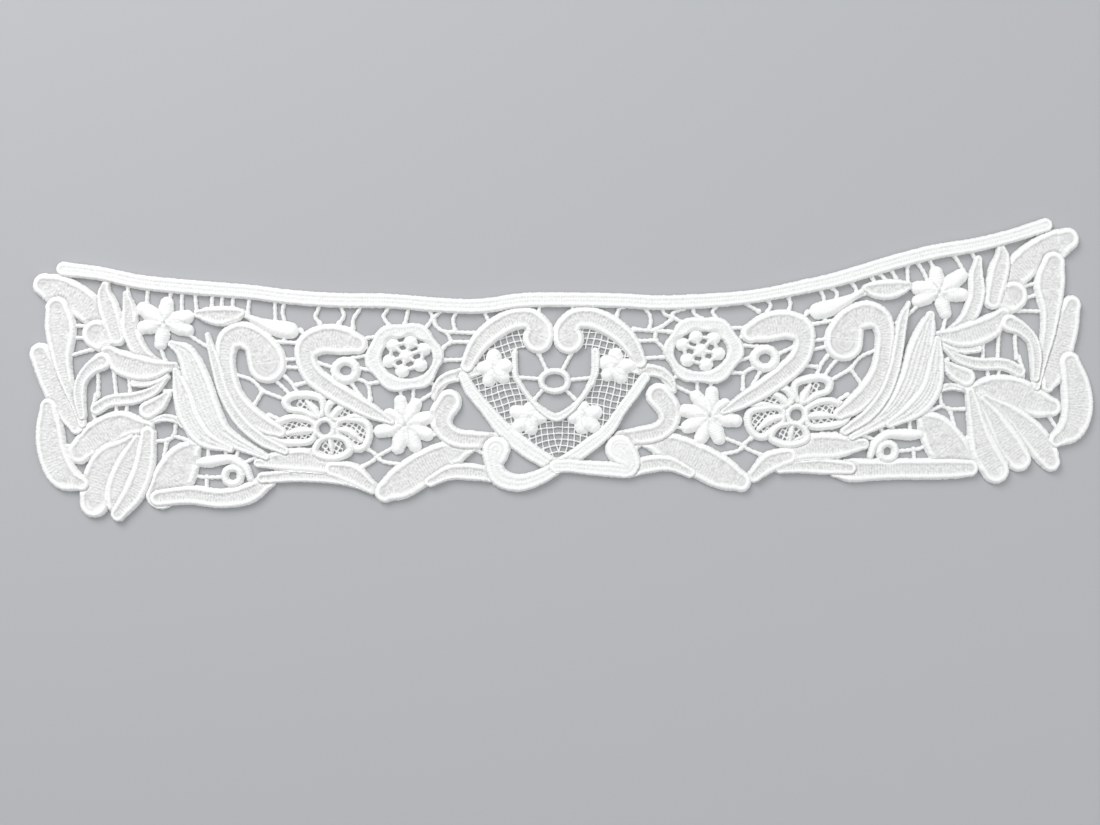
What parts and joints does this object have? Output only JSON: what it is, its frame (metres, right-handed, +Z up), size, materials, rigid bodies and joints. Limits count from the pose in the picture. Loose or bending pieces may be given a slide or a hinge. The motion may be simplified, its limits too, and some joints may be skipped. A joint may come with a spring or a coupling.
{
  "type": "lace collar",
  "caption": "Wide flat collar of padded guipure lace: braid neck edge, netted heart, roses, scrolls and leaves joined by bars.",
  "frame": {"origin": "centre of the collar's outline box, on the table it lies on", "axes": "+X along the collar to the picture's right, +Y towards the neck edge, +Z up from the table; the collar's underside is z = 0"},
  "size_m": [0.3774, 0.0954, 0.0024],
  "materials": {
    "ground_cotton": "matt stitched cotton",
    "net_cotton": "matt stitched cotton",
    "braid_cotton": "satin-stitched cotton",
    "raised_cotton": "satin-stitched cotton"
  },
  "bodies": {
    "root": {"lace_ground": "ground_cotton", "heart_panel": "net_cotton", "neckband": "braid_cotton", "heart_border": "raised_cotton", "heart_inner_band": "raised_cotton", "heart_ring": "raised_cotton", "heart_cross_a": "raised_cotton", "heart_cross_b": "raised_cotton", "heart_cross_c": "raised_cotton", "heart_cross_d": "raised_cotton", "rose_beads_left": "raised_cotton", "rose_beads_right": "raised_cotton", "rose_left": "raised_cotton", "rose_right": "raised_cotton", "ring_left": "raised_cotton", "ring_right": "raised_cotton", "star_flower_left": "raised_cotton", "star_flower_right": "raised_cotton", "inner_scroll_left": "raised_cotton", "inner_scroll_right": "raised_cotton", "heart_scroll_left": "raised_cotton", "heart_scroll_right": "raised_cotton", "daisy_left": "raised_cotton", "daisy_right": "raised_cotton", "hook_scroll_left": "raised_cotton", "hook_scroll_right": "raised_cotton", "side_curl_left": "raised_cotton", "side_curl_right": "raised_cotton", "pinwheel_left": "raised_cotton", "pinwheel_right": "raised_cotton", "bar_leaf_left": "raised_cotton", "bar_leaf_right": "raised_cotton", "feather_left": "raised_cotton", "feather_right": "raised_cotton", "small_curl_left": "raised_cotton", "small_curl_right": "raised_cotton", "border_b_left": "raised_cotton", "border_b_right": "raised_cotton", "border_a_left": "raised_cotton", "border_a_right": "raised_cotton", "almond_leaf_left": "raised_cotton", "almond_leaf_right": "raised_cotton", "club_leaf_left": "raised_cotton", "club_leaf_right": "raised_cotton", "bud_sprays_left": "raised_cotton", "bud_sprays_right": "raised_cotton", "end_curl_left": "raised_cotton", "end_curl_right": "raised_cotton", "leaf_b_left": "raised_cotton", "leaf_b_right": "raised_cotton", "leaf_a_left": "raised_cotton", "leaf_a_right": "raised_cotton", "leaf_c_left": "raised_cotton", "leaf_c_right": "raised_cotton", "end_fan_left": "raised_cotton", "end_fan_right": "raised_cotton", "bell_leaf_left": "raised_cotton", "bell_leaf_right": "raised_cotton"}
  },
  "joints": []
}
